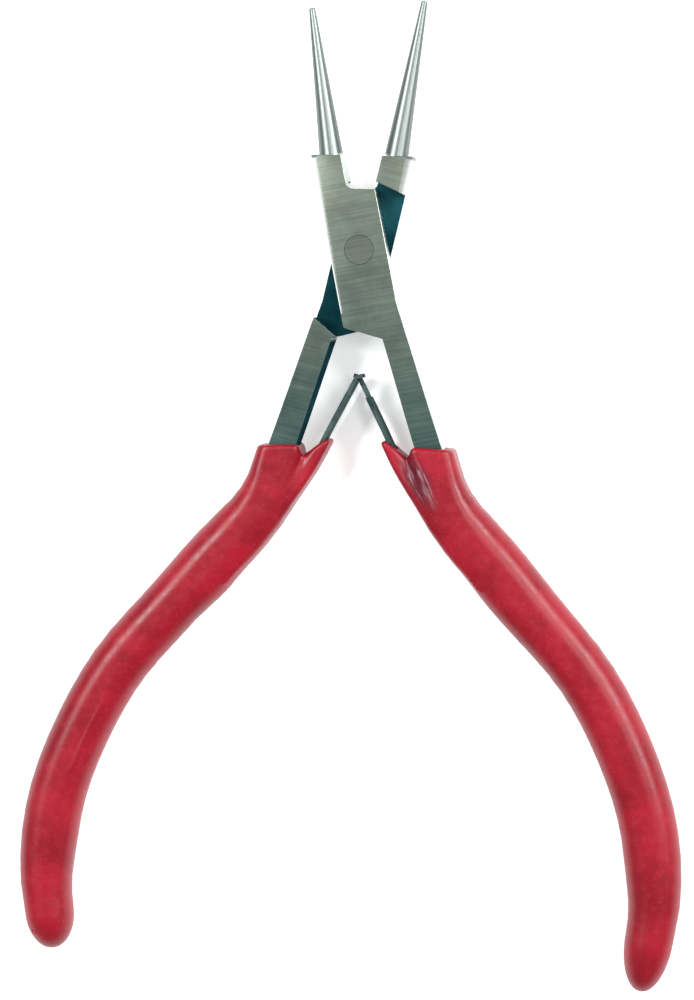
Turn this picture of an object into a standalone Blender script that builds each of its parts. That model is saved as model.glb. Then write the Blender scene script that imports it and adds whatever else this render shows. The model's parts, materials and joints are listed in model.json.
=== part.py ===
"""Round nose pliers of the 130 mm class: lap joint, double leaf return spring, dipped grips.

Metres, +Z up. The pliers lie flat, jaws towards +Y and handles towards -Y. The origin is on the
pivot's axis, on the back face of the joint. They rest open, as the spring holds them.

A lever is drawn in its closed place: the jaws part at x = 0, its jaw is on -X and its handle is
on +X. Its side then turns it to its open angle. The rear lever is the same forging turned over
about the Y axis, so everything on a lever is drawn once and placed on both sides.
"""

import math

import bmesh
import bpy
from mathutils import Matrix, Vector

MM = 0.001

# Opening at rest, between the two jaws.
OPEN_ANGLE = math.radians(24.4)

# Joint: two half-thick plates, one on the other.
JOINT_THICKNESS = 6.2 * MM
LAP_GAP = 0.1 * MM
PLATE_OUTER = 3.9 * MM
PLATE_INNER = 3.5 * MM
PLATE_TOP = 8.0 * MM
PLATE_TOP_SLOPE = math.radians(12)
PLATE_TOP_FILLET = 1.0 * MM
PLATE_BOTTOM_SLOPE = math.radians(27)
UPPER_SHOULDER_CLEARANCE = 1.0 * MM
LOWER_SHOULDER_CLEARANCE = 0.25 * MM
WAIST_END = -7.6 * MM

# Jaws: a turned cone on a square block.
JAW_GAP = 0.06 * MM
JAW_BLOCK_TOP = 12.4 * MM
JAW_LENGTH = {"front_lever": 19.2 * MM, "rear_lever": 20.3 * MM}
JAW_BASE_RADIUS = 1.55 * MM
JAW_TIP_RADIUS = 0.42 * MM
JAW_TIP_ROUND = 0.15 * MM
JAW_ROOT_DEPTH = 1.5 * MM
JAW_ROOT_UNDERCUT = 0.35 * MM
BLOCK_CHAMFER_TOP = 0.8 * MM
BLOCK_CHAMFER_BOTTOM = 0.25 * MM

# Pivot rivet: a shank with countersunk ends, ground flush.
RIVET_SHANK_RADIUS = 1.5 * MM
RIVET_HEAD_RADIUS = 1.87 * MM
RIVET_HEAD_DEPTH = 0.7 * MM
RIVET_FIXED_CLEARANCE = 0.05 * MM
RIVET_RUNNING_CLEARANCE = 0.08 * MM

# Arm and tang, along the handle's centre line.
ARM_START_X = 2.38 * MM
ARM_START_Y = -11.7 * MM
ARM_END_X = 3.97 * MM
ARM_DROP = 15.3 * MM
ARM_START_WIDTH = 3.15 * MM
ARM_END_WIDTH = 3.45 * MM
ARM_END_THICKNESS = 5.2 * MM
TANG_FLARE = 22.0 * MM
TANG_TAPER = 13.0 * MM
TANG_WIDTH = 5.2 * MM
TANG_END_WIDTH = 4.0 * MM
TANG_THICKNESS = 4.8 * MM
HANDLE_LENGTH = 69.0 * MM
HANDLE_SPREAD = 18.7 * MM
# The tang's centre line below the arm, as shares of the handle's spread and length.
HANDLE_CURVE = (
    (0.065, 0.115),
    (0.262, 0.217),
    (0.515, 0.348),
    (0.772, 0.478),
    (0.928, 0.616),
    (1.000, 0.761),
    (0.950, 0.906),
    (0.838, 1.000),
)
EDGE_BEVEL = 0.25 * MM

# Leaf springs.
LEAF_THICKNESS = 0.5 * MM
LEAF_DEPTH = 4.4 * MM
LEAF_TIP_X = -3.4 * MM
LEAF_TIP_Y = -16.1 * MM
LEAF_LEAN = math.radians(15)
LEAF_STRAIGHT = 14.0 * MM
LEAF_HOOK = 0.5 * MM
TONGUE_DEPTH = 1.5 * MM
TONGUE_LENGTH = 2.8 * MM
FORK_CLEARANCE = 0.25 * MM
FOOT_GAP = 0.3 * MM
FOOT_BEND_GAP = 0.3 * MM
HINGE_BELOW_ARM = 10.4 * MM
FOOT_LENGTH = 8.4 * MM
SPRING_RIVET_BELOW_HINGE = 4.6 * MM
SPRING_RIVET_RADIUS = 0.8 * MM
SPRING_RIVET_LENGTH = 2.6 * MM
SPRING_RIVET_HEAD_RADIUS = 1.2 * MM
SPRING_RIVET_HEAD = 0.1 * MM
SPRING_RIVET_CLEARANCE = 0.1 * MM
SPRING_RIVET_HEAD_GAP = 0.15 * MM

# Grips: dipped skin.
SKIN = 0.8 * MM
SKIN_GAP = 0.3 * MM
GRIP_MOUTH_SLANT = math.radians(21)
GRIP_END = 3.0 * MM
GRIP_DRIP = {"left": 0.0 * MM, "right": 1.6 * MM}
GRIP_CORNER = 2.3 * MM
POCKET_CORNER = 0.3 * MM
WEB_SKIN = 0.6 * MM
WEB_EDGE_ROUND = 0.3 * MM
WEB_LEAF_GAP = 0.1 * MM
WEB_TOP = 12.2 * MM
WEB_BOTTOM = 0.9 * MM

# Fineness of the round shapes.
HANDLE_STEPS = 30
CIRCLE = 48
RING_CORNER = 5

COLOURS = {
    "ground_steel": ((0.30, 0.33, 0.30), 0.35, 1.0),
    "spring_steel": ((0.12, 0.16, 0.15), 0.4, 1.0),
    "red_pvc": ((0.50, 0.012, 0.03), 0.3, 0.0),
}

MIDDLE = JOINT_THICKNESS / 2


# ---------------------------------------------------------------- scene and objects


def clear_scene():
    for thing in list(bpy.data.objects):
        bpy.data.objects.remove(thing, do_unlink=True)


def material(name):
    colour, roughness, metallic = COLOURS[name]
    made = bpy.data.materials.get(name) or bpy.data.materials.new(name)
    made.use_nodes = True
    shader = made.node_tree.nodes["Principled BSDF"]
    shader.inputs["Base Color"].default_value = (*colour, 1.0)
    shader.inputs["Roughness"].default_value = roughness
    shader.inputs["Metallic"].default_value = metallic
    return made


def empty(name, matrix, parent=None):
    made = bpy.data.objects.new(name, None)
    bpy.context.scene.collection.objects.link(made)
    made.parent = parent
    made.matrix_local = matrix
    return made


def solid(name, shape, parent, finish=None):
    """An object from a bmesh, with its faces pointing out. With no finish it is a cutter."""
    bmesh.ops.recalc_face_normals(shape, faces=shape.faces)
    mesh = bpy.data.meshes.new(name)
    shape.to_mesh(mesh)
    shape.free()
    made = bpy.data.objects.new(name, mesh)
    bpy.context.scene.collection.objects.link(made)
    made.parent = parent
    if finish:
        mesh.materials.append(material(finish))
        mesh.shade_smooth()
        mesh.set_sharp_from_angle(angle=math.radians(30))
    else:
        made.hide_render = True
        made.display_type = "WIRE"
    return made


def combine(target, other, operation):
    step = target.modifiers.new(other.name, "BOOLEAN")
    step.operation = operation
    step.solver = "EXACT"
    step.object = other


# ---------------------------------------------------------------- shapes


def prism(outline, low, high):
    """A plan outline of (x, y) points, extruded from low to high in z."""
    shape = bmesh.new()
    face = shape.faces.new([shape.verts.new((x, y, low)) for x, y in outline])
    pushed = bmesh.ops.extrude_face_region(shape, geom=[face])["geom"]
    corners = [v for v in pushed if isinstance(v, bmesh.types.BMVert)]
    bmesh.ops.translate(shape, verts=corners, vec=(0, 0, high - low))
    return shape


def side_prism(outline, half_width):
    """A side outline of (y, z) points, extruded along x to both sides of the long axis."""
    shape = prism(outline, -half_width, half_width)
    turn = Matrix(((0, 0, 1, 0), (1, 0, 0, 0), (0, 1, 0, 0), (0, 0, 0, 1)))
    bmesh.ops.transform(shape, matrix=turn, verts=shape.verts)
    return shape


def turned(profile, steps=CIRCLE):
    """A (radius, height) profile that starts and ends on the z axis, spun round it."""
    shape = bmesh.new()
    line = [shape.verts.new((r, 0, z)) for r, z in profile]
    edges = [shape.edges.new(pair) for pair in zip(line, line[1:])]
    bmesh.ops.spin(
        shape, geom=line + edges, axis=(0, 0, 1), cent=(0, 0, 0), angle=math.tau, steps=steps
    )
    bmesh.ops.remove_doubles(shape, verts=shape.verts, dist=0.001 * MM)
    return shape


def loft(rings):
    """Rings of equal numbers of points, joined one to the next, with both ends closed."""
    shape = bmesh.new()
    rows = [[shape.verts.new(p) for p in ring] for ring in rings]
    for here, after in zip(rows, rows[1:]):
        for i in range(len(here)):
            j = (i + 1) % len(here)
            shape.faces.new((here[i], here[j], after[j], after[i]))
    shape.faces.new(rows[0])
    shape.faces.new(rows[-1])
    return shape


def curve_through(points, steps):
    """Points on a smooth curve through the given ones, evenly many on each span."""
    spans = len(points) - 1
    first = points[0] * 2 - points[1]
    last = points[-1] * 2 - points[-2]
    padded = [first, *points, last]
    made = []
    for k in range(steps + 1):
        place = min(k * spans / steps, spans - 1e-9)
        i = int(place)
        t = place - i
        a, b, c, d = padded[i : i + 4]
        made.append(
            0.5
            * (
                2 * b
                + (c - a) * t
                + (2 * a - 5 * b + 4 * c - d) * t * t
                + (3 * b - a - 3 * c + d) * t * t * t
            )
        )
    return made


def ease(value, low, high):
    """0 below low, 1 above high, and smooth between them."""
    t = min(max((value - low) / (high - low), 0.0), 1.0)
    return t * t * (3 - 2 * t)


# ---------------------------------------------------------------- the handle's centre line


def handle_line():
    """The centre line of arm and tang, from the joint down, in the lever's closed place."""
    arm_end = Vector((ARM_END_X, ARM_START_Y - ARM_DROP, 0))
    spots = [Vector((ARM_START_X, ARM_START_Y, 0)), arm_end]
    for across, down in HANDLE_CURVE:
        spots.append(arm_end + Vector((across * HANDLE_SPREAD, -down * HANDLE_LENGTH, 0)))
    return curve_through(spots, HANDLE_STEPS * 3)


class Handle:
    """Places along the handle, by how far down its centre line they are from its start."""

    def __init__(self):
        self.line = handle_line()
        self.run = [0.0]
        for a, b in zip(self.line, self.line[1:]):
            self.run.append(self.run[-1] + (b - a).length)
        self.length = self.run[-1]
        self.arm = (self.line[0] - Vector((ARM_END_X, ARM_START_Y - ARM_DROP, 0))).length
        self.hinge = self.arm + HINGE_BELOW_ARM
        self.foot_end = self.hinge + FOOT_LENGTH
        self.spring_rivet = self.hinge + SPRING_RIVET_BELOW_HINGE

    def stations(self, start, count):
        """Evenly spaced places from start down to the end."""
        return [start + (self.length - start) * k / count for k in range(count + 1)]

    def at(self, down):
        """The centre there and the outward direction."""
        i = next((k for k, run in enumerate(self.run[1:]) if run >= down), len(self.run) - 2)
        a, b = self.line[i], self.line[i + 1]
        t = (down - self.run[i]) / (self.run[i + 1] - self.run[i])
        before = self.line[max(i - 1, 0)]
        after = self.line[min(i + 2, len(self.line) - 1)]
        along = (after - before).normalized()
        return a.lerp(b, t), Vector((-along.y, along.x, 0))

    def size(self, down, start, arm_end, tang, end):
        """A size that changes evenly down the arm, flares into the tang and ends in end."""
        arm = start + (arm_end - start) * min(down / self.arm, 1)
        flared = arm + (tang - arm) * ease(down, self.arm, self.arm + TANG_FLARE)
        return flared + (end - flared) * ease(down, self.length - TANG_TAPER, self.length)

    def half_width(self, down):
        return self.size(down, ARM_START_WIDTH, ARM_END_WIDTH, TANG_WIDTH, TANG_END_WIDTH) / 2

    def half_thickness(self, down):
        return (
            self.size(down, JOINT_THICKNESS, ARM_END_THICKNESS, TANG_THICKNESS, TANG_THICKNESS)
            / 2
        )

    def inner(self, down, out=0.0):
        """A point beyond the inner side, by the distance out."""
        centre, outward = self.at(down)
        return centre - outward * (self.half_width(down) + out)

    def outer(self, down, out=0.0):
        centre, outward = self.at(down)
        return centre + outward * (self.half_width(down) + out)


# ---------------------------------------------------------------- levers


def lever_outline(handle):
    """The forging's plan, from the block's outer top corner, clockwise."""
    face = -JAW_GAP / 2
    slope = math.tan(PLATE_TOP_SLOPE)
    rise = PLATE_OUTER * slope
    points = [(-PLATE_OUTER, JAW_BLOCK_TOP + rise), (face, JAW_BLOCK_TOP)]
    swing = math.pi / 2 - PLATE_TOP_SLOPE
    reach = PLATE_TOP_FILLET * math.tan(swing / 2)
    centre_x = face + PLATE_TOP_FILLET
    centre_y = PLATE_TOP - slope * face + reach
    for k in range(5):
        turn = math.pi + swing * k / 4
        points.append(
            (
                centre_x + PLATE_TOP_FILLET * math.cos(turn),
                centre_y + PLATE_TOP_FILLET * math.sin(turn),
            )
        )
    points.append((PLATE_INNER, PLATE_TOP - PLATE_INNER * slope))
    points.append((PLATE_INNER, WAIST_END))
    places = handle.stations(0.0, HANDLE_STEPS)
    points += [handle.outer(down).xy[:] for down in places]
    end, outward = handle.at(handle.length)
    along = Vector((outward.y, -outward.x, 0))
    radius = handle.half_width(handle.length)
    for k in range(1, 6):
        turn = math.pi * k / 6
        spot = end + outward * radius * math.cos(turn) + along * radius * math.sin(turn)
        points.append(spot.xy[:])
    points += [handle.inner(down).xy[:] for down in reversed(places)]
    corner = handle.inner(0.0)
    drop = (corner.x + PLATE_OUTER) * math.tan(PLATE_BOTTOM_SLOPE)
    points.append((-PLATE_OUTER, corner.y + drop))
    return points


def side_outline(handle):
    """The forging seen from the side: thick at the joint, thinner down the arm and tang."""
    places = [0.0, handle.arm, handle.arm + TANG_FLARE / 2, handle.arm + TANG_FLARE]
    spots = [(2 * max(JAW_LENGTH.values()), JOINT_THICKNESS / 2)]
    spots += [(handle.at(down)[0].y, handle.half_thickness(down)) for down in places]
    spots.append((-2 * handle.length, TANG_THICKNESS / 2))
    front = [(y, MIDDLE + half) for y, half in spots]
    back = [(y, MIDDLE - half) for y, half in reversed(spots)]
    return front + back


def recess_outline(handle):
    """The plan of what is cut away for the other lever's plate, shoulder to shoulder."""
    wide = 3 * PLATE_OUTER
    top = PLATE_TOP + UPPER_SHOULDER_CLEARANCE / math.cos(PLATE_TOP_SLOPE)
    corner = handle.inner(0.0)
    low_slope = math.tan(PLATE_BOTTOM_SLOPE)
    plate_bottom = corner.y + corner.x * low_slope
    low = plate_bottom - LOWER_SHOULDER_CLEARANCE / math.cos(PLATE_BOTTOM_SLOPE)
    top_slope = math.tan(PLATE_TOP_SLOPE)
    return [
        (-wide, top - wide * top_slope),
        (wide, top + wide * top_slope),
        (wide, low + wide * low_slope),
        (-wide, low - wide * low_slope),
    ]


def jaw_profile(length):
    """Radius and height of the turned jaw, from inside its block to its rounded tip."""
    slope = (JAW_BASE_RADIUS - JAW_TIP_RADIUS) / length
    root = JAW_BASE_RADIUS - JAW_ROOT_UNDERCUT
    points = [(0, -JAW_ROOT_DEPTH), (root, -JAW_ROOT_DEPTH), (JAW_BASE_RADIUS, 0)]
    shoulder = length - JAW_TIP_ROUND
    points.append((JAW_TIP_RADIUS + slope * JAW_TIP_ROUND, shoulder))
    for k in range(1, 3):
        turn = math.pi / 2 * k / 3
        points.append(
            (
                JAW_TIP_RADIUS - JAW_TIP_ROUND * (1 - math.cos(turn)),
                shoulder + JAW_TIP_ROUND * math.sin(turn),
            )
        )
    points.append((JAW_TIP_RADIUS - JAW_TIP_ROUND, length))
    points.append((0, length))
    return points


def jaw_cone(name, parent, length):
    """The cone leans so that its inner side runs along the parting line."""
    lean = math.atan((JAW_BASE_RADIUS - JAW_TIP_RADIUS) / length)
    shape = turned(jaw_profile(length))
    base = Vector((-JAW_GAP / 2 - JAW_BASE_RADIUS / math.cos(lean), JAW_BLOCK_TOP, MIDDLE))
    base.y += JAW_BASE_RADIUS * math.tan(PLATE_TOP_SLOPE)
    upright = Matrix.Rotation(-lean, 4, "Z") @ Matrix.Rotation(-math.pi / 2, 4, "X")
    bmesh.ops.transform(shape, matrix=Matrix.Translation(base) @ upright, verts=shape.verts)
    return solid(name, shape, parent)


def chamfer_wedge(name, parent, face_z, inward):
    """A wedge along the block's outer edge: wide at the top, narrow by the joint's end."""
    outside = PLATE_OUTER / 4
    ends = (
        (JAW_BLOCK_TOP + PLATE_OUTER / 2, BLOCK_CHAMFER_TOP),
        (WAIST_END, BLOCK_CHAMFER_BOTTOM),
    )
    rings = []
    for y, wide in ends:
        edge = Vector((-PLATE_OUTER, y, face_z))
        rings.append(
            [
                edge + Vector((wide + outside, 0, -inward * outside)),
                edge + Vector((-outside, 0, inward * (wide + outside))),
                edge + Vector((-outside, 0, -inward * outside)),
            ]
        )
    return solid(name, loft(rings), parent)


def rivet_hole_profile(clearance, ends):
    """The rivet's own profile, wider by the clearance, and longer by ends."""
    shank = RIVET_SHANK_RADIUS + clearance
    head = RIVET_HEAD_RADIUS + clearance
    top = JOINT_THICKNESS
    points = [(0, -ends), (head, -ends)]
    if ends:
        points.append((head, 0))
    points += [(shank, RIVET_HEAD_DEPTH), (shank, top - RIVET_HEAD_DEPTH), (head, top)]
    if ends:
        points.append((head, top + ends))
    points.append((0, top + ends))
    return points


def spring_rivet_place(handle):
    """A matrix on the tang's inner side, its z axis pointing away from the tang."""
    _, outward = handle.at(handle.spring_rivet)
    spot = handle.inner(handle.spring_rivet)
    spot.z = MIDDLE
    turn = Vector((0, 0, 1)).rotation_difference(-outward).to_matrix().to_4x4()
    return Matrix.Translation(spot) @ turn


def spring_rivet_profile(clearance=0.0):
    """Shank and low head, from the blind end in the tang outwards."""
    seat = FOOT_GAP + LEAF_THICKNESS + SPRING_RIVET_HEAD_GAP
    shank = SPRING_RIVET_RADIUS + clearance
    points = [(0, -SPRING_RIVET_LENGTH - clearance), (shank, -SPRING_RIVET_LENGTH - clearance)]
    if clearance:
        return points + [(shank, 2 * SPRING_RIVET_LENGTH), (0, 2 * SPRING_RIVET_LENGTH)]
    head = SPRING_RIVET_HEAD_RADIUS
    points += [(shank, seat), (head, seat), (head * 0.8, seat + SPRING_RIVET_HEAD)]
    return points + [(0, seat + SPRING_RIVET_HEAD)]


def lever(side, handle, clearance):
    """One forging: plan and side outlines, recess, chamfers, cone and rivet holes."""
    name = side.lever
    blank = prism(lever_outline(handle), 0, JOINT_THICKNESS)
    body = solid(name, blank, side.frame, "ground_steel")
    shape = side_prism(side_outline(handle), 2 * HANDLE_SPREAD + 4 * PLATE_OUTER)
    combine(body, solid(name + "_side_outline", shape, side.frame), "INTERSECT")
    shape = prism(recess_outline(handle), -MM, MIDDLE + LAP_GAP / 2)
    combine(body, solid(name + "_recess", shape, side.frame), "DIFFERENCE")
    for where, face_z, inward in (("front", JOINT_THICKNESS, -1), ("back", 0, 1)):
        wedge = chamfer_wedge(f"{name}_{where}_wedge", side.frame, face_z, inward)
        combine(body, wedge, "DIFFERENCE")
    bevel = body.modifiers.new("edges", "BEVEL")
    bevel.width = EDGE_BEVEL
    bevel.segments = 2
    bevel.limit_method = "ANGLE"
    bevel.angle_limit = math.radians(40)
    combine(body, jaw_cone(name + "_cone", side.frame, JAW_LENGTH[name]), "UNION")
    hole = turned(rivet_hole_profile(clearance, MM))
    combine(body, solid(name + "_rivet_hole", hole, side.frame), "DIFFERENCE")
    hole = turned(spring_rivet_profile(SPRING_RIVET_CLEARANCE), 24)
    bmesh.ops.transform(hole, matrix=spring_rivet_place(handle), verts=hole.verts)
    combine(body, solid(name + "_spring_hole", hole, side.frame), "DIFFERENCE")
    return body


# ---------------------------------------------------------------- leaf springs


def leaf_line(handle):
    """The leaf's centre line, from its tip down to the end of its foot on the tang."""
    lean = Vector((math.sin(LEAF_LEAN), -math.cos(LEAF_LEAN), 0))
    tip = Vector((LEAF_TIP_X, LEAF_TIP_Y, 0))
    free = [tip + lean * LEAF_STRAIGHT * k / 2 for k in range(3)]
    beside = FOOT_GAP + LEAF_THICKNESS / 2
    foot = [handle.inner(handle.hinge + FOOT_LENGTH * k / 2, beside) for k in range(3)]
    return curve_through([*free, *foot], 50)


def split_leaf(handle):
    """The leaf's centre line above its hinge, and below it."""
    line = leaf_line(handle)
    level = handle.inner(handle.hinge).y
    above = [p for p in line if p.y > level]
    below = [p for p in line if p.y <= level]
    return above, below


def hinge_spot(handle):
    """Where a stiff leaf would be hinged to bend as the real one does."""
    above, below = split_leaf(handle)
    return (above[-1] + below[0]) / 2


def strip(line, thickness):
    """The plan of a bent strip of even thickness along a line of points."""
    left, right = [], []
    for i, spot in enumerate(line):
        along = (line[min(i + 1, len(line) - 1)] - line[max(i - 1, 0)]).normalized()
        across = Vector((-along.y, along.x, 0)) * thickness / 2
        left.append((spot + across).xy[:])
        right.append((spot - across).xy[:])
    return left + right[::-1]


def hooked(line):
    """The line with its tip turned over towards the other leaf."""
    along = (line[0] - line[1]).normalized()
    across = Vector((-along.y, along.x, 0))
    return [line[0] + (along + across) * LEAF_HOOK, *line]


def leaf_blank(name, line, parent):
    half = LEAF_DEPTH / 2
    shape = prism(strip(line, LEAF_THICKNESS), MIDDLE - half, MIDDLE + half)
    return solid(name, shape, parent, "spring_steel")


def tip_cutter(name, parent, spot, low, high):
    """A block round the leaf's tip, between two heights."""
    wide = 4 * LEAF_THICKNESS
    outline = [
        (spot.x - wide, spot.y - TONGUE_LENGTH),
        (spot.x + wide, spot.y - TONGUE_LENGTH),
        (spot.x + wide, spot.y + wide),
        (spot.x - wide, spot.y + wide),
    ]
    return solid(name, prism(outline, low, high), parent)


def leaf(side, handle):
    """The moving part of a leaf, on its hinge: a tongue on one side, a fork on the other."""
    hinge = hinge_spot(handle)
    above, _ = split_leaf(handle)
    line = [p - hinge for p in hooked(above)]
    line[-1] = line[-1].normalized() * FOOT_BEND_GAP / 2
    name = side.name + "_leaf_spring"
    body = leaf_blank(name, line, side.hinge)
    tip = line[1]
    far = LEAF_DEPTH
    if side.name == "left":
        half = TONGUE_DEPTH / 2 + FORK_CLEARANCE
        slot = tip_cutter(name + "_slot", side.hinge, tip, MIDDLE - half, MIDDLE + half)
        combine(body, slot, "DIFFERENCE")
    else:
        half = TONGUE_DEPTH / 2
        for where, low, high in (
            ("back", MIDDLE - far, MIDDLE - half),
            ("front", MIDDLE + half, MIDDLE + far),
        ):
            cutter = tip_cutter(f"{name}_{where}_cut", side.hinge, tip, low, high)
            combine(body, cutter, "DIFFERENCE")
    return body


def spring_foot(side, handle):
    hinge = hinge_spot(handle)
    _, below = split_leaf(handle)
    line = [hinge + (below[0] - hinge).normalized() * FOOT_BEND_GAP / 2, *below[1:]]
    body = leaf_blank(side.name + "_spring_foot", line, side.frame)
    hole = turned(spring_rivet_profile(SPRING_RIVET_CLEARANCE), 24)
    bmesh.ops.transform(hole, matrix=spring_rivet_place(handle), verts=hole.verts)
    combine(body, solid(side.name + "_foot_hole", hole, side.frame), "DIFFERENCE")
    return body


def spring_rivet(side, handle):
    shape = turned(spring_rivet_profile(), 24)
    bmesh.ops.transform(shape, matrix=spring_rivet_place(handle), verts=shape.verts)
    return solid(side.name + "_spring_rivet", shape, side.frame, "spring_steel")


def pivot_rivet(side):
    shape = turned(rivet_hole_profile(0.0, 0.0))
    return solid("pivot_rivet", shape, side.frame, "ground_steel")


# ---------------------------------------------------------------- grips


def rounded_ring(inner, outer, half_thickness, radius):
    """A rounded rectangle standing on the line between two side points."""
    centre = (inner + outer) / 2
    half_width = (outer - inner).length / 2
    sideways = (outer - inner).normalized()
    radius = min(radius, 0.95 * half_width, 0.95 * half_thickness)
    ring = []
    for quarter, (across, up) in enumerate(((1, 1), (-1, 1), (-1, -1), (1, -1))):
        for k in range(RING_CORNER):
            turn = math.pi / 2 * (quarter + k / (RING_CORNER - 1))
            u = across * (half_width - radius) + radius * math.cos(turn)
            v = up * (half_thickness - radius) + radius * math.sin(turn)
            ring.append(centre + sideways * u + Vector((0, 0, MIDDLE + v)))
    return ring


def spring_room(handle, down):
    """How far the foot and its rivet stand off the tang, fading out below the foot."""
    room = FOOT_GAP + LEAF_THICKNESS + SPRING_RIVET_HEAD_GAP + SPRING_RIVET_HEAD
    return room * (1 - ease(down, handle.foot_end, handle.foot_end + TANG_FLARE / 2))


def grip_ring(handle, down, wall, radius):
    """A ring round tang and foot, wall away from them, slanting down outwards near the mouth."""
    inner = handle.inner(down, spring_room(handle, down) + wall)
    outer = handle.outer(down, wall)
    ring = rounded_ring(inner, outer, handle.half_thickness(down) + wall, radius)
    centre, outward = handle.at(down)
    along = Vector((outward.y, -outward.x, 0))
    fade = 1 - ease(down, handle.arm, handle.arm + TANG_FLARE)
    slope = math.tan(GRIP_MOUTH_SLANT) * fade
    return [p + along * (p - centre).dot(outward) * slope for p in ring]


def closing_rings(ring, centre, along, depth, steps, smallest):
    """Smaller and smaller copies of a ring, further and further along: a rounded end."""
    made = []
    last_turn = math.acos(smallest)
    for k in range(1, steps + 1):
        turn = last_turn * k / steps
        reach = along * depth * math.sin(turn) / math.sin(last_turn)
        made.append([centre + reach + (p - centre) * math.cos(turn) for p in ring])
    return made


def grip_opening(side, handle):
    """The cut that bares the arm's inner side above the hinge, where the leaf moves."""
    places = [handle.arm - HINGE_BELOW_ARM / 2, handle.arm, handle.arm + HINGE_BELOW_ARM / 2]
    places.append(handle.hinge + FOOT_BEND_GAP)
    edge = [handle.inner(down, -SKIN_GAP / 2) for down in places]
    far = 3 * ARM_END_WIDTH
    outline = [p.xy[:] for p in edge]
    outline += [(edge[-1].x - far, edge[-1].y), (edge[0].x - far, edge[0].y + far)]
    shape = prism(outline, -JOINT_THICKNESS, 2 * JOINT_THICKNESS)
    return solid(side.name + "_grip_opening", shape, side.frame)


def grip(side, handle):
    """The skin: an outer shape with a pocket for tang and foot, open at its mouth."""
    places = handle.stations(handle.arm, HANDLE_STEPS)
    outside = [grip_ring(handle, down, SKIN_GAP + SKIN, GRIP_CORNER) for down in places]
    pocket = [grip_ring(handle, down, SKIN_GAP, POCKET_CORNER) for down in places]
    end, outward = handle.at(handle.length)
    along = Vector((outward.y, -outward.x, 0))
    centre = end + Vector((0, 0, MIDDLE))
    tang_end = handle.half_width(handle.length)
    depth = tang_end + SKIN_GAP + GRIP_END + GRIP_DRIP[side.name]
    outside += closing_rings(outside[-1], centre, along, depth, 7, 0.2)
    pocket.append([p + along * (tang_end + SKIN_GAP) for p in pocket[-1]])
    body = solid(side.name + "_grip", loft(outside[::-1] + pocket), side.frame, "red_pvc")
    combine(body, grip_opening(side, handle), "DIFFERENCE")
    return body


def grip_web(side, handle):
    """The stretch of skin on the moving leaf: a channel along its inner face."""
    hinge = hinge_spot(handle)
    above, _ = split_leaf(handle)
    line = [p - hinge for p in above]
    line = [p for p in line if WEB_BOTTOM < p.y < WEB_TOP]
    rings = []
    for i, spot in enumerate(line):
        along = (line[min(i + 1, len(line) - 1)] - line[max(i - 1, 0)]).normalized()
        inward = Vector((along.y, -along.x, 0))
        if inward.x > 0:
            inward = -inward
        near = LEAF_THICKNESS / 2 + WEB_LEAF_GAP
        far = near + WEB_SKIN
        deep = LEAF_DEPTH / 2 + WEB_LEAF_GAP
        lip = deep + WEB_SKIN
        back = -LEAF_THICKNESS / 4
        plan = (
            (far, -lip + WEB_EDGE_ROUND),
            (far, lip - WEB_EDGE_ROUND),
            (far - WEB_EDGE_ROUND, lip),
            (back, lip),
            (back, deep),
            (near, deep),
            (near, -deep),
            (back, -deep),
            (back, -lip),
            (far - WEB_EDGE_ROUND, -lip),
        )
        rings.append([spot + inward * a + Vector((0, 0, MIDDLE + b)) for a, b in plan])
    return solid(side.name + "_grip_web", loft(rings), side.hinge, "red_pvc")


# ---------------------------------------------------------------- assembly


class Side:
    """One lever with all that is on it, named after the side its handle is on."""

    def __init__(self, name, lever_name, matrix, handle):
        self.name = name
        self.lever = lever_name
        self.frame = empty(name + "_side", matrix)
        self.hinge = empty(name + "_leaf_hinge", Matrix.Translation(hinge_spot(handle)), self.frame)


def main():
    clear_scene()
    handle = Handle()
    half_open = OPEN_ANGLE / 2
    front = Matrix.Rotation(half_open, 4, "Z")
    turned_over = Matrix.Translation((0, 0, JOINT_THICKNESS)) @ Matrix.Rotation(math.pi, 4, "Y")
    rear = Matrix.Rotation(-half_open, 4, "Z") @ turned_over
    right = Side("right", "front_lever", front, handle)
    left = Side("left", "rear_lever", rear, handle)
    lever(right, handle, RIVET_FIXED_CLEARANCE)
    lever(left, handle, RIVET_RUNNING_CLEARANCE)
    pivot_rivet(right)
    for side in (left, right):
        leaf(side, handle)
        spring_foot(side, handle)
        spring_rivet(side, handle)
        grip(side, handle)
        grip_web(side, handle)


main()
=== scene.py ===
"""Looks of the round nose pliers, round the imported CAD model.

The steel pieces keep their CAD shape and get procedural materials. Each dipped PVC skin is made
here as one mesh: an implicit surface round tang, spring foot and leaf, with its own mouth, web
and drip. It is worked out in millimetres in the lever's closed place, where the jaws part at
x = 0 and the handle is on +X, and then placed on both sides.
"""

import json
import math

import bpy
import numpy as np
from mathutils import Matrix, Vector
from mathutils.bvhtree import BVHTree


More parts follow.
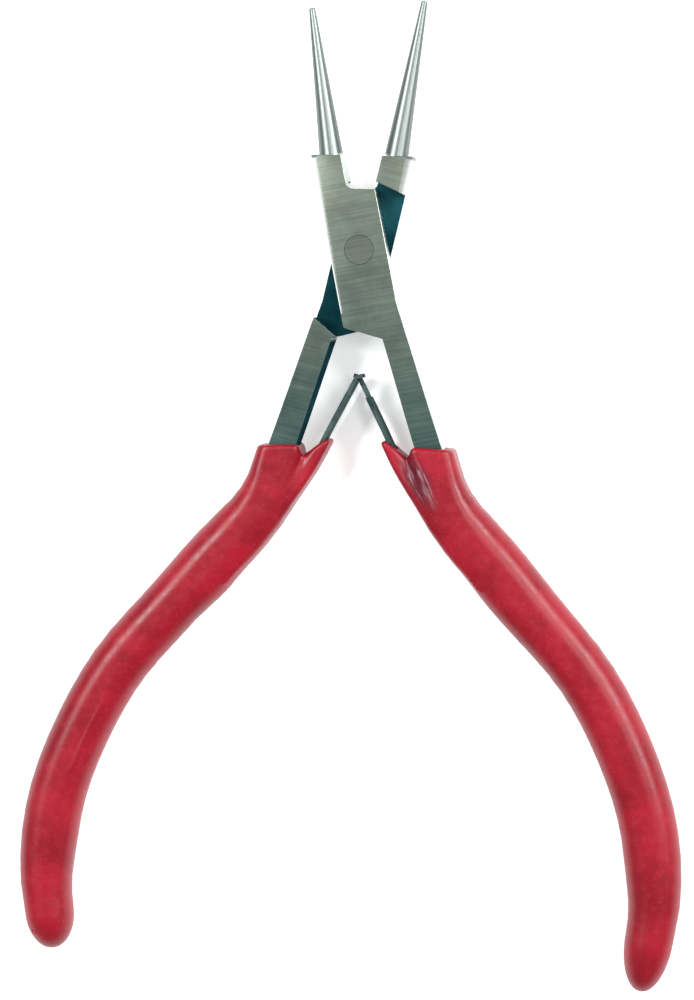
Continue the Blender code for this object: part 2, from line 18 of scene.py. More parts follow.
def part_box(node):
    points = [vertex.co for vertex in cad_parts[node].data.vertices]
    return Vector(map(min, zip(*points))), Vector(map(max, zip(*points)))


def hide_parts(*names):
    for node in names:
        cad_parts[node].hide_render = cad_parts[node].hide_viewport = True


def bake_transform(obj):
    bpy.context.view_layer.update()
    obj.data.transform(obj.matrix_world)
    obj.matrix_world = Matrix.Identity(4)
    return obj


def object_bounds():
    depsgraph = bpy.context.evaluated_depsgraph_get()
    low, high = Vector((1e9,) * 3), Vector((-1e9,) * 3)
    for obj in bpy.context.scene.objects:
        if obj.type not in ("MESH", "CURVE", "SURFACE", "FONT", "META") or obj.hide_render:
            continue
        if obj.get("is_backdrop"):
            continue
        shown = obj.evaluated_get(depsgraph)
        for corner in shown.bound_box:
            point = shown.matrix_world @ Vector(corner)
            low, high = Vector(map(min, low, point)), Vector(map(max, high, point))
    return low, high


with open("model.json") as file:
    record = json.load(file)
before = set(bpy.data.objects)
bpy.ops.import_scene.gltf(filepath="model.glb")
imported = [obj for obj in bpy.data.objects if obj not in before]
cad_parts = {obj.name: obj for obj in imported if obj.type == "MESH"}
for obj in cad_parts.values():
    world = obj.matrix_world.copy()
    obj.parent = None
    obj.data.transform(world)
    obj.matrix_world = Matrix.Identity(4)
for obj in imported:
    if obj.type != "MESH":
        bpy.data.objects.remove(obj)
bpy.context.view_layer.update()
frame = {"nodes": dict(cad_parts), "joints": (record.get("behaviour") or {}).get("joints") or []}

MM = 0.001
NODES = frame["nodes"]

JOINT_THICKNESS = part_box("pivot_rivet")[1].z
MIDDLE = JOINT_THICKNESS / 2 / MM
pivot = next(j for j in frame["joints"] if j["name"] == "pivot")
HALF_OPEN = math.radians(pivot["range_deg"][1]) / 2

# From the lever's closed place to where each side lies at rest.
RIGHT_PLACE = Matrix.Rotation(HALF_OPEN, 4, "Z")
TURNED_OVER = Matrix.Translation((0, 0, JOINT_THICKNESS)) @ Matrix.Rotation(math.pi, 4, "Y")
LEFT_PLACE = Matrix.Rotation(-HALF_OPEN, 4, "Z") @ TURNED_OVER

# How finely the skin is worked out, in millimetres.
VOXEL = 0.3
STATION = 0.25
NEWTON_STEPS = 3
LONGEST_MOVE = 0.15

# Where the handle's centre lines are read from the CAD, as heights on the closed lever.
ARM_TOP = -15.0
LEAF_TOP = -20.0
PAST_THE_END = -200.0
TANG_END_LEFT_OUT = 3.0
STRAIGHT_ON = 9.0

# The skin's thickness on the tang, near the mouth, over the spring's foot and on the leaf.
SKIN = 1.1
MOUTH_SKIN = 1.25
MOUTH_FADE = 6.0
FOOT_SKIN = 1.7
FOOT_FADE = {"left": 8.0, "right": 14.0}
LEAF_SKIN = 0.72
LEAF_SKIN_LOST = 0.9
LEAF_SKIN_FADE = 5.0
FILM_HALF_DEPTH = 2.0
END_SKIN = {"left": 2.9, "right": 5.1}

# Its section goes from square at the mouth to round further down.
MOUTH_CORNER = 1.4
TANG_CORNER = 3.1
FLAT_LENGTH = 16.0
BLEND = 1.0
MOUTH_ROUND = 0.5

# The pocket inside it, for the tang, the leaf with its foot, and the spring rivet's head.
FIT = 0.06
MOUTH_POCKET_CORNER = 0.25
POCKET_CORNER = 1.2
SLOT_CORNER = 0.1
POCKET_BLEND = 0.7
HEAD_ROOM_RADIUS = 1.4
HEAD_ROOM_DEPTH = 1.15

# The mouth's edge runs from the leaf over the notch to the outer side.
MOUTH = ((-8.0, -25.4), (-1.4, -24.8), (1.05, -27.6), (1.9, -26.3), (6.7, -27.5), (12.0, -28.8))
MOUTH_ON_TANG = (4.3, -26.9)

# The left skin's raised line: from and to how far down, how far in, how wide and how high.
SEAM_START = (51.0, 56.0)
SEAM_END = (62.0, 66.0)
SEAM_IN = 1.25
SEAM_WIDTH = 0.22
SEAM_HEIGHT = 0.13

# Lengths along the levers that part the finishes, from the pivot.
RECESS_END = 12.0 * MM
JAW_START = 12.6 * MM


# ---------------------------------------------------------------- fields


def smooth_step(value, low, high):
    t = np.clip((value - low) / (high - low), 0.0, 1.0)
    return t * t * (3 - 2 * t)


def smooth_min(a, b, reach):
    """The lesser of two fields, rounded off where they differ by less than reach."""
    near = np.maximum(reach - np.abs(a - b), 0.0) / reach
    return np.minimum(a, b) - near * near * reach / 4


def smooth_max(a, b, reach):
    return -smooth_min(-a, -b, reach)


def rounded_box(u, v, half_u, half_v, radius):
    """Distance to a rounded rectangle, below zero inside it."""
    du = np.abs(u) - (half_u - radius)
    dv = np.abs(v) - (half_v - radius)
    outside = np.hypot(np.maximum(du, 0), np.maximum(dv, 0))
    return outside + np.minimum(np.maximum(du, dv), 0) - radius


# ---------------------------------------------------------------- the handle, read from the frame


class Path:
    """The centre line of CAD nodes that lie along the handle, with their half width and depth."""

    def __init__(self, nodes, top, bottom):
        to_lever = Matrix.Scale(1 / MM, 4) @ RIGHT_PLACE.inverted()
        corners, faces = [], []
        for name in nodes:
            mesh = NODES[name].data
            faces += [[len(corners) + i for i in p.vertices] for p in mesh.polygons]
            corners += [to_lever @ v.co for v in mesh.vertices]
        self.lowest = min(c.y for c in corners)
        self.tree = BVHTree.FromPolygons(corners, faces)
        rows = [self.row(y) for y in np.arange(top, max(bottom, self.lowest), -STATION)]
        y, inner, outer, depth = np.array([row for row in rows if row]).T
        self.line = np.column_stack(((inner + outer) / 2, y))
        slope = np.gradient(self.line[:, 0], y)
        self.half = (outer - inner) / 2 / np.sqrt(1 + slope * slope)
        self.depth = depth
        steps = np.hypot(*np.diff(self.line, axis=0).T)
        self.run = np.concatenate(([0.0], np.cumsum(steps)))
        tangent = np.gradient(self.line, axis=0)
        self.along = tangent / np.hypot(*tangent.T)[:, None]

    def row(self, y):
        """Where a line across at y meets the inner and outer sides, and the half depth there."""
        far = 80.0
        beside_holes = MIDDLE + 1.5
        left = self.tree.ray_cast(Vector((-far, y, beside_holes)), Vector((1, 0, 0)))[0]
        right = self.tree.ray_cast(Vector((far, y, beside_holes)), Vector((-1, 0, 0)))[0]
        if left is None:
            return None
        middle = (left.x + right.x) / 2
        top = self.tree.ray_cast(Vector((middle, y, far)), Vector((0, 0, -1)))[0]
        return y, left.x, right.x, top.z - MIDDLE

    def extend(self, length):
        """Makes the line go straight on past its end."""
        reach = np.arange(1, int(length / STATION) + 1) * STATION
        self.line = np.vstack((self.line, self.line[-1] + self.along[-1] * reach[:, None]))
        self.run = np.concatenate((self.run, self.run[-1] + reach))
        self.along = np.vstack((self.along, np.tile(self.along[-1], (len(reach), 1))))
        self.half = np.concatenate((self.half, np.full(len(reach), self.half[-1])))
        self.depth = np.concatenate((self.depth, np.full(len(reach), self.depth[-1])))

    def place(self, xy):
        """For points (x, y): how far down and outwards they are, and the half width and depth.

        The nearest station is looked for in strides first, and then in the stretch round that.
        """
        stride = 12
        gap = xy[:, None, :] - self.line[::stride]
        middle = np.argmin((gap * gap).sum(2), axis=1) * stride
        window = middle[:, None] + np.arange(-stride, stride + 1)
        window = np.clip(window, 0, len(self.line) - 1)
        gap = xy[:, None, :] - self.line[window]
        nearest = np.argmin((gap * gap).sum(2), axis=1)
        near = window[np.arange(len(xy)), nearest]
        away = xy - self.line[near]
        along = self.along[near]
        down = self.run[near] + (away * along).sum(1)
        out = away[:, 1] * along[:, 0] - away[:, 0] * along[:, 1]
        return np.array((down, out, self.half[near], self.depth[near]))


# ---------------------------------------------------------------- the skin


class Skin:
    """The dipped skin of one side as a field: below zero in the PVC, in the lever's place."""

    def __init__(self, side):
        self.side = side
        lever = Path(["front_lever"], ARM_TOP, PAST_THE_END)
        self.tang = Path(["front_lever"], ARM_TOP, lever.lowest + TANG_END_LEFT_OUT)
        self.tang.extend(STRAIGHT_ON)
        self.tang_run = self.tang.run[-1] - STRAIGHT_ON
        self.leaf = Path(["right_leaf_spring", "right_spring_foot"], LEAF_TOP, PAST_THE_END)
        foot = Path(["right_spring_foot"], LEAF_TOP, PAST_THE_END)
        self.hinge, self.foot_end = self.tang.place(foot.line[[0, -1]])[0]
        self.mouth = self.tang.place(np.array([MOUTH_ON_TANG]))[0][0]
        rivet = RIGHT_PLACE.inverted() @ (sum(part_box("right_spring_rivet"), Vector()) / 2) / MM
        self.rivet = self.tang.place(np.array([rivet.xy]))[0][0]

    def flat(self, xy):
        """What depends only on x and y."""
        return (*self.tang.place(xy), *self.leaf.place(xy), self.above_mouth(xy))

    def above_mouth(self, xy):
        """How far above the mouth's edge points are, with the edge's corners softened."""
        x, y = np.array(MOUTH).T
        edge = sum(np.interp(xy[:, 0] + shift, x, y) for shift in (-0.25, 0.0, 0.25)) / 3
        slope = (np.interp(xy[:, 0] + 0.1, x, y) - np.interp(xy[:, 0] - 0.1, x, y)) / 0.2
        return (xy[:, 1] - edge) / np.sqrt(1 + slope * slope)

    def field(self, flat, z):
        """Below zero in the PVC: the coat and the film in the notch, without the pocket."""
        rounding = smooth_step(flat[0], self.mouth, self.mouth + FLAT_LENGTH)
        v = z - MIDDLE
        return np.maximum(self.coat(flat, v, rounding), -self.pocket(flat, v, rounding))

    def coat(self, flat, v, rounding):
        """The outside, as if it were solid."""
        down, out, half, depth, _, leaf_out, leaf_half, leaf_depth, above = flat
        near_mouth = 1 - smooth_step(down, self.mouth, self.mouth + MOUTH_FADE)
        skin = SKIN + (MOUTH_SKIN - SKIN) * near_mouth
        foot = smooth_step(down, self.mouth, self.hinge)
        foot = foot - smooth_step(down, self.foot_end, self.foot_end + FOOT_FADE[self.side])
        inward = half + skin + (FOOT_SKIN - SKIN) * foot
        outward = half + skin
        deep = depth + SKIN
        past = down - self.tang_run
        reach = self.tang.half[-1] + END_SKIN[self.side]
        taper = np.sqrt(np.clip(1 - np.maximum(past, 0) ** 2 / reach**2, 1e-4, 1))
        wide = (inward + outward) / 2 * taper
        shifted = out - (outward - inward) / 2 * taper
        corner = MOUTH_CORNER + (TANG_CORNER - MOUTH_CORNER) * rounding
        tang = rounded_box(shifted, v, wide, deep * taper, corner * taper)
        tang = np.maximum(tang, past - reach)
        tang -= self.seam(down, out, v)
        thinner = smooth_step(down, self.foot_end - LEAF_SKIN_FADE, self.foot_end)
        sleeve = LEAF_SKIN * (1 - LEAF_SKIN_LOST * thinner)
        leaf = rounded_box(leaf_out, v, leaf_half + sleeve, leaf_depth + sleeve, sleeve)
        leaf = np.maximum(leaf, down - self.foot_end)
        film = np.maximum(np.maximum(-leaf_out, out + half), np.abs(v) - FILM_HALF_DEPTH)
        film = np.maximum(film, down - self.foot_end)
        body = smooth_min(smooth_min(tang, leaf, BLEND), film, BLEND)
        return smooth_max(body, above, MOUTH_ROUND)

    def pocket(self, flat, v, rounding):
        """Below zero where the tang, the leaf with its foot and the spring rivet's head are."""
        down, out, half, depth, _, leaf_out, leaf_half, leaf_depth, _ = flat
        corner = MOUTH_POCKET_CORNER + (POCKET_CORNER - MOUTH_POCKET_CORNER) * rounding
        room = rounded_box(out, v, half + FIT, depth + FIT, corner)
        room = np.maximum(room, down - self.tang_run - self.tang.half[-1] - FIT)
        slot = rounded_box(leaf_out, v, leaf_half + FIT, leaf_depth + FIT, SLOT_CORNER)
        slot = np.maximum(slot, down - self.foot_end - FIT)
        head = np.hypot(down - self.rivet, v) - HEAD_ROOM_RADIUS
        head = np.maximum(head, -out - half - HEAD_ROOM_DEPTH)
        return np.minimum(smooth_min(room, slot, POCKET_BLEND), np.maximum(head, out))

    def seam(self, down, out, v):
        """A fine raised line where the left skin ran while it dried."""
        if self.side == "right":
            return 0.0
        along = smooth_step(down, *SEAM_START) - smooth_step(down, *SEAM_END)
        across = np.exp(-(((out + SEAM_IN) / SEAM_WIDTH) ** 2))
        return SEAM_HEIGHT * along * across * (v < 0)

    def at(self, points):
        return self.field(self.flat(points[:, :2]), points[:, 2])

    def at_and_slope(self, points):
        """The field at the points, and its gradient there."""
        step = 0.02
        value = self.at(points)
        here = self.flat(points[:, :2])
        rows = []
        for shift in ((step, 0), (0, step)):
            ahead = self.field(self.flat(points[:, :2] + shift), points[:, 2])
            rows.append((ahead - value) / step)
        rows.append((self.field(here, points[:, 2] + step) - value) / step)
        return value, np.column_stack(rows)

    def grid(self):
        """The lowest corner of a box round the skin, and the field on its grid."""
        low = np.array((-3.5, self.tang.line[-1, 1] - 3, -1.6))
        high = np.array((self.tang.line[:, 0].max() + 6, MOUTH[1][1] + 1.2, 2 * MIDDLE + 1.6))
        x, y, z = (np.arange(a, b, VOXEL) for a, b in zip(low, high))
        xy = np.stack(np.meshgrid(x, y, indexing="ij"), axis=-1).reshape(-1, 2)
        flat = [row[:, None] for row in self.flat(xy)]
        return low, self.field(flat, z[None, :]).reshape(len(x), len(y), len(z))

    def surface(self):
        """Points and four-sided faces on the field's zero."""
        low, values = self.grid()
        points, faces = surface_net(values)
        points = low + points * VOXEL
        for _ in range(NEWTON_STEPS):
            value, slope = self.at_and_slope(points)
            steep = np.maximum((slope * slope).sum(1), 0.2)
            points -= slope * np.clip(value / steep, -LONGEST_MOVE, LONGEST_MOVE)[:, None]
        return points, faces


def surface_net(values):
    """One point in each cell that the zero surface crosses, and a face round each crossed edge."""
    cells = np.array(values.shape) - 1
    total = np.zeros((cells.prod(), 3))
    count = np.zeros(cells.prod())
    faces = []
    for axis in range(3):
        low = np.take(values, range(cells[axis]), axis)
        high = np.take(values, range(1, cells[axis] + 1), axis)
        spots = np.argwhere((low < 0) != (high < 0))
        a = low[tuple(spots.T)]
        b = high[tuple(spots.T)]
        crossing = spots.astype(float)
        crossing[:, axis] += a / (a - b)
        ring = []
        for one, two in ((-1, -1), (0, -1), (0, 0), (-1, 0)):
            cell = spots.copy()
            cell[:, (axis + 1) % 3] += one
            cell[:, (axis + 2) % 3] += two
            index = np.ravel_multi_index(cell.T, cells)
            np.add.at(total, index, crossing)
            np.add.at(count, index, 1)
            ring.append(index)
        ring = np.column_stack(ring)
        faces.append(np.where((a < 0)[:, None], ring, ring[:, ::-1]))
    used = np.flatnonzero(count)
    number = np.full(len(count), -1)
    number[used] = np.arange(len(used))
    return total[used] / count[used, None], number[np.vstack(faces)]


def make_skin(side, place):
    """One skin for the grip and its web, stretched across the notch."""
    points, faces = Skin(side).surface()
    mesh = bpy.data.meshes.new(side + "_grip_skin")
    mesh.from_pydata(points.tolist(), [], faces.tolist())
    mesh.transform(place @ Matrix.Scale(MM, 4))
    mesh.shade_smooth()
    mesh.set_sharp_from_angle(angle=math.radians(50))
    skin = bpy.data.objects.new(side + "_grip_skin", mesh)
    bpy.context.scene.collection.objects.link(skin)
    mesh.materials.append(pvc(side))
    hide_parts(side + "_grip", side + "_grip_web")
    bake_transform(skin)


# ---------------------------------------------------------------- materials


class Shading:
    """A material's node tree, with short ways to add to it."""

    def __init__(self, name, **values):
        self.material = bpy.data.materials.new(name)
        self.material.use_nodes = True
        self.tree = self.material.node_tree
        self.shader = self.tree.nodes["Principled BSDF"]
        for socket, value in values.items():
            self.shader.inputs[socket.replace("_", " ")].default_value = value

    def add(self, kind, inputs=(), output=0, **settings):
        node = self.tree.nodes.new("ShaderNode" + kind)
        for name, value in settings.items():
            setattr(node, name, value)
        for socket, value in dict(inputs).items():
            self.put(value, node.inputs[socket])
        return node.outputs[output]

    def put(self, value, socket):
        if isinstance(value, bpy.types.NodeSocket):
            self.tree.links.new(value, socket)
        else:
            socket.default_value = value

    def math(self, operation, *values):
        return self.add("Math", dict(enumerate(values)), operation=operation)

    def between(self, value, low, high, start=0.0, end=1.0):
        """start where value is low, end where it is high, and smooth between them."""
        inputs = {0: value, 1: low, 2: high, 3: start, 4: end}
        return self.add("MapRange", inputs, interpolation_type="SMOOTHSTEP")

    def mix(self, share, first, second):
        made = self.tree.nodes.new("ShaderNodeMix")
        made.data_type = "RGBA"
        self.put(share, made.inputs[0])
        self.put(first, made.inputs[6])
        self.put(second, made.inputs[7])
        return made.outputs[2]

    def noise(self, place, scale, detail=3.0, roughness=0.5):
        inputs = {"Vector": place, "Scale": scale, "Detail": detail, "Roughness": roughness}
        return self.add("TexNoise", inputs)

    def stretched(self, place, scale):
        return self.add("Mapping", {"Vector": place, "Scale": scale})

    def bump(self, height, strength, distance):
        inputs = {"Height": height, "Strength": strength, "Distance": distance}
        return self.add("Bump", inputs)

    def finish(self, **inputs):
        for socket, value in inputs.items():
            self.put(value, self.shader.inputs[socket.replace("_", " ")])
        return self.material


def rgb(red, green, blue):
    return (red, green, blue, 1.0)


def lever_steel(name, turned_over):
    """Ground on the faces, polished on the jaws, dark where the forging was not ground; with
    painted shade down the arms and painted highlights on the chamfers.
    """
    s = Shading(name, Specular_IOR_Level=0.0)
    where = s.add("TexCoord", output="Object")
    facing = s.add("TexCoord", output="Normal")
    angle = HALF_OPEN if turned_over else -HALF_OPEN
    where = s.add("VectorRotate", {"Vector": where, "Angle": angle}, rotation_type="Z_AXIS")
    facing = s.add("VectorRotate", {"Vector": facing, "Angle": angle}, rotation_type="Z_AXIS")
    place = s.tree.nodes.new("ShaderNodeSeparateXYZ")
    s.put(where, place.inputs[0])
    normal = s.tree.nodes.new("ShaderNodeSeparateXYZ")
    s.put(facing, normal.inputs[0])
    _, y, z = place.outputs
    normal_x, normal_y, normal_z = normal.outputs
    if turned_over:
        z = s.math("SUBTRACT", JOINT_THICKNESS, z)
        normal_x = s.math("MULTIPLY", normal_x, -1.0)
    flat = s.between(s.math("ABSOLUTE", normal_z), 0.7, 0.9)
    upright = s.math("SUBTRACT", 1.0, flat)
    half = JOINT_THICKNESS / 2
    deep = s.between(z, 0.15 * half, 0.2 * half)
    deep = s.math("MULTIPLY", deep, s.between(z, 1.1 * half, 1.2 * half, 1.0, 0.0))
    joint = s.between(s.math("ABSOLUTE", y), RECESS_END, RECESS_END + 0.3 * MM, 1.0, 0.0)
    floor = s.math("MULTIPLY", s.math("MULTIPLY", flat, deep), joint)
    crosswise = s.between(s.math("ABSOLUTE", normal_y), 0.6, 0.75)
    shoulder = s.math("MULTIPLY", crosswise, joint)
    shoulder = s.math("MULTIPLY", shoulder, s.between(z, 0.95 * half, 1.0 * half, 1.0, 0.0))
    inner = s.between(normal_x, -0.6, -0.4, 1.0, 0.0)
    arm = s.between(y, -RECESS_END - 0.5 * MM, -RECESS_END + 0.5 * MM, 1.0, 0.0)
    inner = s.math("MULTIPLY", inner, arm)
    side = s.math("MULTIPLY", upright, s.math("MAXIMUM", shoulder, inner))
    dark = s.math("MAXIMUM", floor, side)

    across = s.noise(s.stretched(where, (70, 5200, 600)), 1.0, 4.0, 0.6)
    cloud = s.noise(where, 160.0, 4.0, 0.6)
    specks = s.noise(where, 1500.0, 2.0, 0.7)
    # Painted shade: the faces are painted darker and bluer down the arms, lighter towards the
    # jaws.
    down = s.between(y, -36 * MM, 12 * MM)
    tone = s.mix(down, rgb(0.070, 0.155, 0.145), rgb(0.295, 0.337, 0.275))
    tone = s.mix(s.between(cloud, 0.3, 0.7, 0.0, 0.25), tone, rgb(0.18, 0.23, 0.19))
    tone = s.mix(s.between(across, 0.35, 0.7, 0.0, 0.09), tone, rgb(0.55, 0.58, 0.52))
    tone = s.mix(s.between(specks, 0.62, 0.75, 0.0, 0.25), tone, rgb(0.1, 0.12, 0.1))
    tone = s.mix(upright, tone, rgb(0.66, 0.69, 0.67))
    # Painted highlight: the chamfers round the faces, away from the jaws, are painted lighter.
    edge = s.between(s.math("ABSOLUTE", normal_z), 0.25, 0.5)
    edge = s.math("MULTIPLY", edge, s.between(s.math("ABSOLUTE", normal_z), 0.8, 0.97, 1.0, 0.0))
    jaw = s.between(y, JAW_START, JAW_START + 0.3 * MM)
    edge = s.math("MULTIPLY", edge, s.math("SUBTRACT", 1.0, jaw))
    tone = s.mix(s.math("MULTIPLY", edge, 0.6), tone, rgb(0.72, 0.75, 0.72))
    tone = s.mix(jaw, tone, rgb(0.185, 0.211, 0.203))
    scale = s.mix(s.between(cloud, 0.35, 0.7), rgb(0.003, 0.028, 0.034), rgb(0.011, 0.062, 0.076))
    scale = s.mix(s.between(across, 0.62, 0.8, 0.0, 0.35), scale, rgb(0.06, 0.12, 0.12))
    colour = s.mix(dark, tone, scale)

    rough = s.between(across, 0.3, 0.7, 0.25, 0.29)
    rough = s.math("ADD", rough, s.between(cloud, 0.3, 0.7, -0.03, 0.05))
    turning = s.noise(s.stretched(where, (40, 3000, 40)), 1.0, 2.0, 0.5)
    polished = s.between(turning, 0.3, 0.7, 0.36, 0.4)
    rough = s.add("Mix", {0: jaw, 2: rough, 3: polished})
    rough = s.add("Mix", {0: dark, 2: rough, 3: 0.62})
    marks = s.add("Mix", {0: jaw, 2: across, 3: turning})
    marks = s.math("ADD", marks, s.math("MULTIPLY", specks, 0.35))
    depth = s.add("Mix", {0: jaw, 2: 0.07, 3: 0.005})
    lines = s.bump(marks, depth, 0.03 * MM)
    bare = s.math("SUBTRACT", 1.0, dark)
    return s.finish(Base_Color=colour, Metallic=bare, Roughness=rough, Normal=lines)


def rivet_steel():
    """Ground flush with the front face, so its marks run the same way, a little darker."""
    s = Shading("rivet_ground", Metallic=1.0)
    where = s.add("TexCoord", output="Object")
    turned = s.add("VectorRotate", {"Vector": where, "Angle": -HALF_OPEN}, rotation_type="Z_AXIS")
    across = s.noise(s.stretched(turned, (70, 5200, 600)), 1.0, 4.0, 0.6)
    cloud = s.noise(where, 300.0, 3.0, 0.6)
    tone = s.mix(s.between(cloud, 0.3, 0.7), rgb(0.225, 0.265, 0.22), rgb(0.26, 0.305, 0.25))
    tone = s.mix(s.between(across, 0.35, 0.7, 0.0, 0.09), tone, rgb(0.55, 0.58, 0.52))
    rough = s.between(across, 0.3, 0.7, 0.25, 0.29)
    lines = s.bump(across, 0.12, 0.03 * MM)
    return s.finish(Base_Color=tone, Roughness=rough, Normal=lines)


def spring_steel():
    """Spring strip: broad faces painted dark as painted shade, with a rolled grain, and front
    edges painted lighter as a painted highlight.
    """
    s = Shading("spring_painted_shade", Specular_IOR_Level=0.0)
    where = s.add("TexCoord", output="Object")
    facing = s.tree.nodes.new("ShaderNodeSeparateXYZ")
    s.put(s.add("TexCoord", output="Normal"), facing.inputs[0])
    grain = s.noise(s.stretched(where, (400, 400, 3000)), 1.0, 3.0, 0.6)
    cloud = s.noise(where, 350.0, 4.0, 0.6)
    # Painted shade makes the broad faces dark, and a painted highlight makes the front edges
    # lighter.
    face = s.mix(s.between(cloud, 0.3, 0.7), rgb(0.012, 0.04, 0.042), rgb(0.05, 0.085, 0.08))
    face = s.mix(s.between(grain, 0.55, 0.75, 0.0, 0.4), face, rgb(0.16, 0.2, 0.19))
    edge = s.between(s.math("ABSOLUTE", facing.outputs[2]), 0.5, 0.9)
    bright = s.mix(s.between(cloud, 0.3, 0.7), rgb(0.035, 0.075, 0.07), rgb(0.085, 0.13, 0.12))
    tone = s.mix(edge, face, bright)
    rough = s.between(cloud, 0.3, 0.7, 0.32, 0.48)
    metal = s.math("MAXIMUM", edge, 0.25)
    lines = s.bump(grain, 0.15, 0.02 * MM)
    return s.finish(Base_Color=tone, Metallic=metal, Roughness=rough, Normal=lines)


def pvc(side):
    """Dipped PVC: crimson with clouding, fine pale specks and shallow ripples."""
    s = Shading(side + "_dipped_pvc", Specular_IOR_Level=0.4)
    where = s.add("TexCoord", output="Object")
    cloud = s.noise(where, 140.0, 5.0, 0.6)
    mottle = s.noise(where, 900.0, 3.0, 0.6)
    tone = s.mix(s.between(cloud, 0.3, 0.7), rgb(0.205, 0.0004, 0.008), rgb(0.315, 0.0007, 0.0135))
    tone = s.mix(s.between(mottle, 0.5, 0.8, 0.0, 0.35), tone, rgb(0.42, 0.0045, 0.029))
    specks = {"Vector": where, "Scale": 3600.0}
    near = s.add("TexVoronoi", specks)
    chosen = s.between(s.add("SeparateColor", {0: s.add("TexVoronoi", specks, 1)}), 0.8, 0.85)
    speck = s.math("MULTIPLY", s.between(near, 0.15, 0.3, 1.0, 0.0), chosen)
    tone = s.mix(s.math("MULTIPLY", speck, 0.12), tone, rgb(0.8, 0.3, 0.35))
    rough = s.between(cloud, 0.3, 0.7, 0.33, 0.41)
    rough = s.math("ADD", rough, s.between(mottle, 0.3, 0.7, -0.03, 0.05))
    # The right skin gets a dark patch with pale streaks below its notch.
    if side == "right":
        tone = notch_patch(s, where, tone)
    height = s.math("ADD", s.math("MULTIPLY", mottle, 0.5), s.noise(where, 2600.0, 2.0, 0.5))
    return s.finish(Base_Color=tone, Roughness=rough, Normal=s.bump(height, 0.2, 0.05 * MM))


def notch_patch(s, where, tone):
    """Below the right notch: a dark patch, with pale streaks down the handle."""
    spot = RIGHT_PLACE @ (Vector((1.9, -30.6, 2 * MIDDLE)) * MM)
    turned = s.add("Mapping", {"Vector": where, "Location": -spot}, vector_type="POINT")
    turned = s.add("VectorRotate", {"Vector": turned, "Angle": -0.5}, rotation_type="Z_AXIS")
    shrunk = s.stretched(turned, (1 / 1.7, 1 / 4.2, 1 / 3.0))
    away = s.add("VectorMath", {0: shrunk}, 1, operation="LENGTH")
    patch = s.between(away, 0.4 * MM, 1.3 * MM, 0.85, 0.0)
    tone = s.mix(patch, tone, rgb(0.085, 0.004, 0.013))
    marks = s.noise(s.stretched(turned, (3000, 330, 900)), 1.0, 3.0, 0.6)
    marks = s.math("MULTIPLY", s.between(marks, 0.5, 0.8, 0.0, 0.5), patch)
    return s.mix(marks, tone, rgb(0.8, 0.55, 0.6))


def floor_material():
    """Pale and matt, and a little bright of itself so that it comes out white."""
    s = Shading("pale_floor", Emission_Color=rgb(1, 1, 1), Emission_Strength=0.45)
    where = s.add("TexCoord", output="Object")
    cloud = s.noise(where, 6.0, 4.0, 0.5)
    tone = s.mix(s.between(cloud, 0.3, 0.7), rgb(0.82, 0.82, 0.82), rgb(0.86, 0.86, 0.86))
    fine = s.noise(where, 900.0, 2.0, 0.5)
    return s.finish(Base_Color=tone, Roughness=0.75, Normal=s.bump(fine, 0.1, 0.1 * MM))


def smooth_shading():
    """A modifier that shades round faces smooth and keeps real edges sharp."""
    group = bpy.data.node_groups.new("smooth_round_faces", "GeometryNodeTree")
    group.interface.new_socket("Mesh", in_out="INPUT", socket_type="NodeSocketGeometry")
    group.interface.new_socket("Mesh", in_out="OUTPUT", socket_type="NodeSocketGeometry")
    nodes = group.nodes
    source = nodes.new("NodeGroupInput")
    merge = nodes.new("GeometryNodeMergeByDistance")
    merge.inputs["Distance"].default_value = 0.001 * MM
    angle = nodes.new("GeometryNodeInputMeshEdgeAngle")
    steep = nodes.new("FunctionNodeCompare")
    steep.operation = "GREATER_THAN"
    steep.inputs[1].default_value = math.radians(14)
    shade = nodes.new("GeometryNodeSetMeshNormal")
    shade.inputs["Remove Custom"].default_value = True
    sink = nodes.new("NodeGroupOutput")
    group.links.new(source.outputs[0], merge.inputs[0])
    group.links.new(merge.outputs[0], shade.inputs["Mesh"])
    group.links.new(angle.outputs[0], steep.inputs[0])
    group.links.new(steep.outputs[0], shade.inputs["Edge Sharpness"])
    group.links.new(shade.outputs[0], sink.inputs[0])
    return group


def dress_steel():
    """Gives every bare steel node its finish and the smooth shading."""
    shading = smooth_shading()
    front = lever_steel("front_lever_steel", False)
    rear = lever_steel("rear_lever_steel", True)
    rivet = rivet_steel()
    spring = spring_steel()
    finishes = {"front_lever": front, "rear_lever": rear, "pivot_rivet": rivet}
    for name, node in NODES.items():
        if "grip" in name:
            continue
        node.material_slots[0].link = "OBJECT"
        node.material_slots[0].material = finishes.get(name, spring)
        node.modifiers.new("smooth", "NODES").node_group = shading


# ---------------------------------------------------------------- stage, light and camera


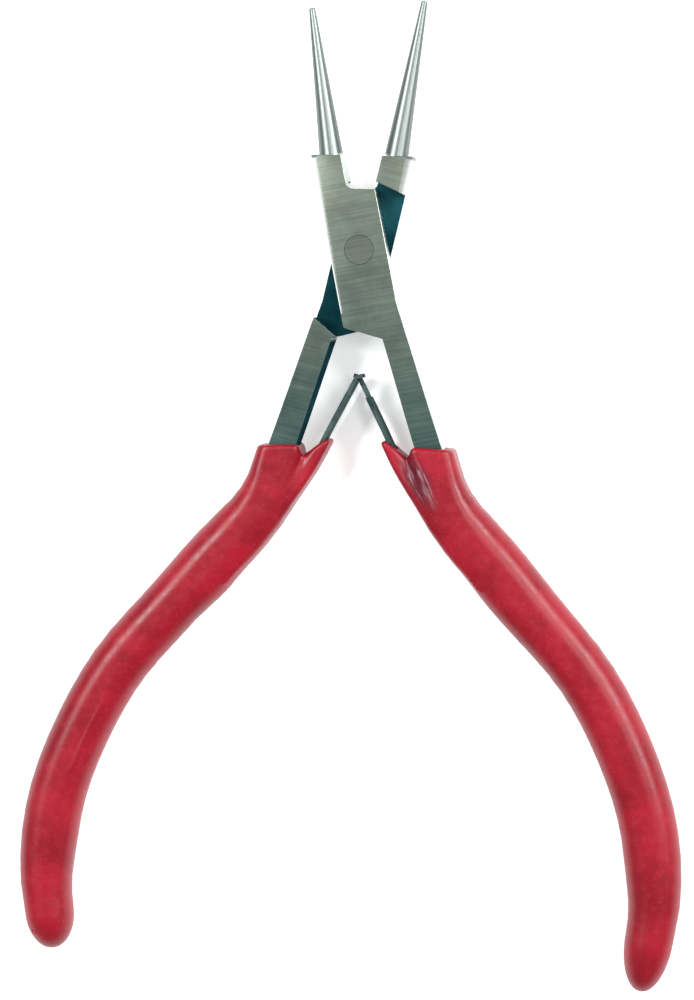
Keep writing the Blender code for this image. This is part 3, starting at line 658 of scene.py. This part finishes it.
def make_floor(height):
    mesh = bpy.data.meshes.new("floor")
    half = 2.0
    sides = ((-half, -half), (half, -half), (half, half), (-half, half))
    corners = [(x, y, height) for x, y in sides]
    mesh.from_pydata(corners, [], [(0, 1, 2, 3)])
    mesh.materials.append(floor_material())
    floor = bpy.data.objects.new("floor", mesh)
    bpy.context.scene.collection.objects.link(floor)
    floor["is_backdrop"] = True


def area_light(name, place, aim, size, power):
    lamp = bpy.data.lights.new(name, "AREA")
    lamp.shape = "RECTANGLE"
    lamp.size, lamp.size_y = size
    lamp.energy = power
    holder = bpy.data.objects.new(name, lamp)
    holder.location = place
    holder.rotation_euler = (aim - place).to_track_quat("-Z", "Y").to_euler()
    bpy.context.scene.collection.objects.link(holder)


def make_light():
    """An even surround and three soft boxes round the middle of the pliers."""
    world = bpy.data.worlds.new("studio")
    bpy.context.scene.world = world
    world.use_nodes = True
    background = world.node_tree.nodes["Background"]
    background.inputs["Color"].default_value = (0.95, 0.98, 1.0, 1.0)
    background.inputs["Strength"].default_value = 0.38
    middle = Vector((0, -35, 0)) * MM
    distance = 0.8
    boxes = {
        "key": ((-0.52, 0.28, 0.81), (0.38, 0.17), 5.0),
        "window": ((0.32, 0.22, 0.92), (0.35, 0.12), 1.5),
        "side": ((0.71, 0.36, 0.62), (0.4, 0.2), 5.5),
    }
    for name, (direction, size, power) in boxes.items():
        area_light(name, middle + Vector(direction) * distance, middle, size, power)


def make_camera():
    """Above the pliers, leaning a little to the right and up, as in the photograph."""
    aim = Vector((-1.03, -32.44, 0.7 * JOINT_THICKNESS / MM)) * MM
    distance = 416 * MM
    lens = bpy.data.cameras.new("camera")
    lens.lens = 115.2
    lens.clip_start = 0.01
    camera = bpy.data.objects.new("camera", lens)
    camera.rotation_euler = [math.radians(angle) for angle in (-3.423, 6.693, 1.314)]
    back = camera.rotation_euler.to_matrix() @ Vector((0, 0, 1))
    camera.location = aim + back * distance
    bpy.context.scene.collection.objects.link(camera)
    bpy.context.scene.camera = camera


dress_steel()
make_skin("right", RIGHT_PLACE)
make_skin("left", LEFT_PLACE)
make_floor(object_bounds()[0].z - 0.05 * MM)
make_light()
make_camera()
bpy.context.scene.view_settings.view_transform = "Standard"
